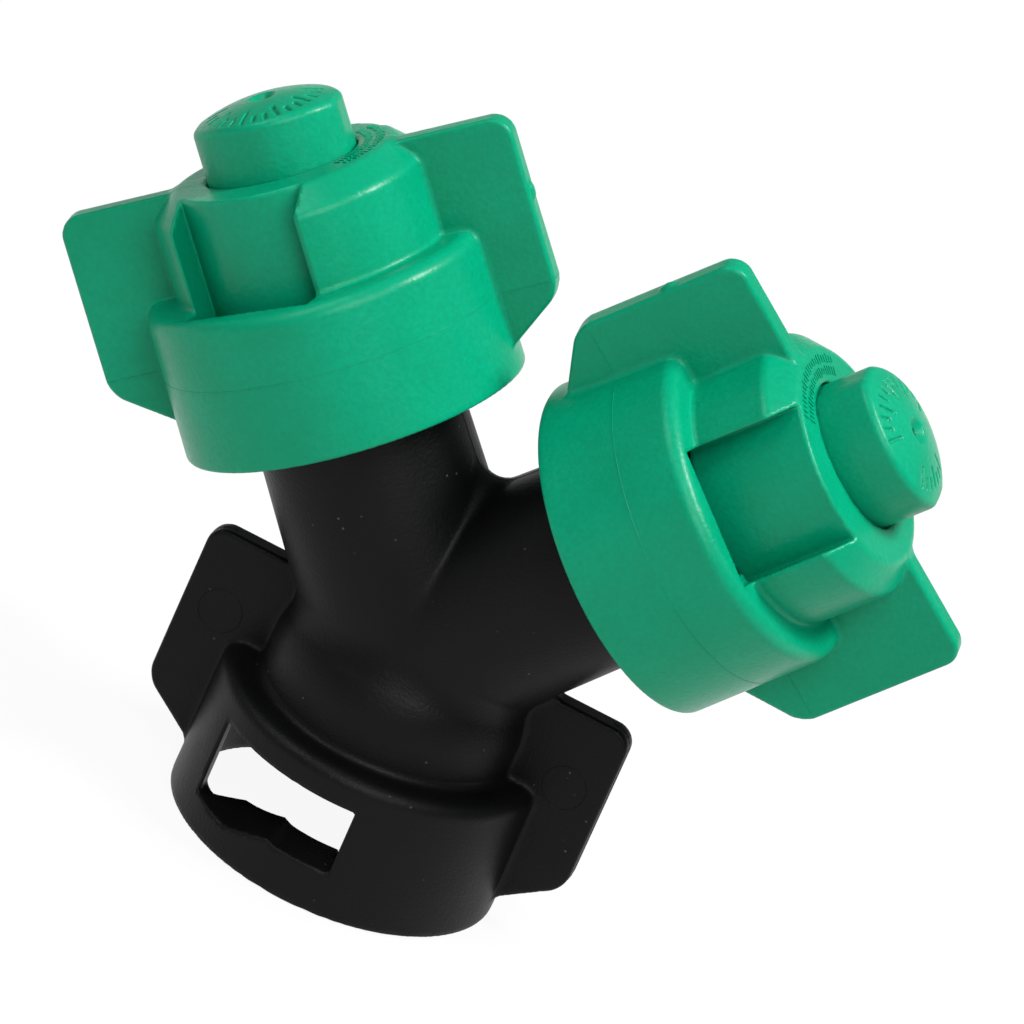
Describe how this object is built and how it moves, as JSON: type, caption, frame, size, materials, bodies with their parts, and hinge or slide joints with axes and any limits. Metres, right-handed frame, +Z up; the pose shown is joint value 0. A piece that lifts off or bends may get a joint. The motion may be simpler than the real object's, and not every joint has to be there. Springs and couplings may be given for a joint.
{
  "type": "twin-outlet nozzle adapter",
  "caption": "Y-shaped crop-sprayer nozzle adapter: a black body with a bayonet socket below and two arms that end in winged green bayonet caps with hollow-cone spray tips.",
  "frame": {"origin": "centre of the body socket's open rim, in the rim plane", "axes": "+Z up the socket axis, the two arms lean 39.6 degrees from it towards -X and +X, and the body's windows face -Y and +Y"},
  "size_m": [0.0914, 0.0326, 0.0723],
  "materials": {
    "black_glass_filled_nylon": "satin moulded, fine grain",
    "green_acetal": "satin moulded",
    "ivory_acetal": "satin moulded",
    "black_epdm": "matt",
    "stainless_mesh": "fine woven wire"
  },
  "bodies": {
    "body": {"y_body": "black_glass_filled_nylon", "inlet_seal": "black_epdm", "left_strainer_frame": "ivory_acetal", "left_strainer_mesh": "stainless_mesh", "right_strainer_frame": "ivory_acetal", "right_strainer_mesh": "stainless_mesh"},
    "left_seal_seat": {"left_seal": "black_epdm"},
    "left_outlet": {"left_cap": "green_acetal", "left_spray_tip": "green_acetal", "left_swirl_core": "ivory_acetal"},
    "right_seal_seat": {"right_seal": "black_epdm"},
    "right_outlet": {"right_cap": "green_acetal", "right_spray_tip": "green_acetal", "right_swirl_core": "ivory_acetal"}
  },
  "joints": [
    {"name": "left_cap_rise", "type": "slide", "parent": "body", "child": "left_seal_seat", "axis": [-0.6374, 0, 0.7705], "range_m": [-0.00007, 0.00093]},
    {"name": "left_cap_turn", "type": "hinge", "parent": "left_seal_seat", "child": "left_outlet", "pos_m": [-0.01422, 0, 0.04058], "axis": [-0.6374, 0, 0.7705], "range_deg": [-6, 84]},
    {"name": "right_cap_rise", "type": "slide", "parent": "body", "child": "right_seal_seat", "axis": [0.6374, 0, 0.7705], "range_m": [-0.00009, 0.00091]},
    {"name": "right_cap_turn", "type": "hinge", "parent": "right_seal_seat", "child": "right_outlet", "pos_m": [0.01422, 0, 0.04058], "axis": [0.6374, 0, 0.7705], "range_deg": [-8, 82]}
  ],
  "couplings": [
    {"joint": "left_cap_rise", "follows": "left_cap_turn", "m_per_rad": 0.00063662},
    {"joint": "right_cap_rise", "follows": "right_cap_turn", "m_per_rad": 0.00063662}
  ]
}
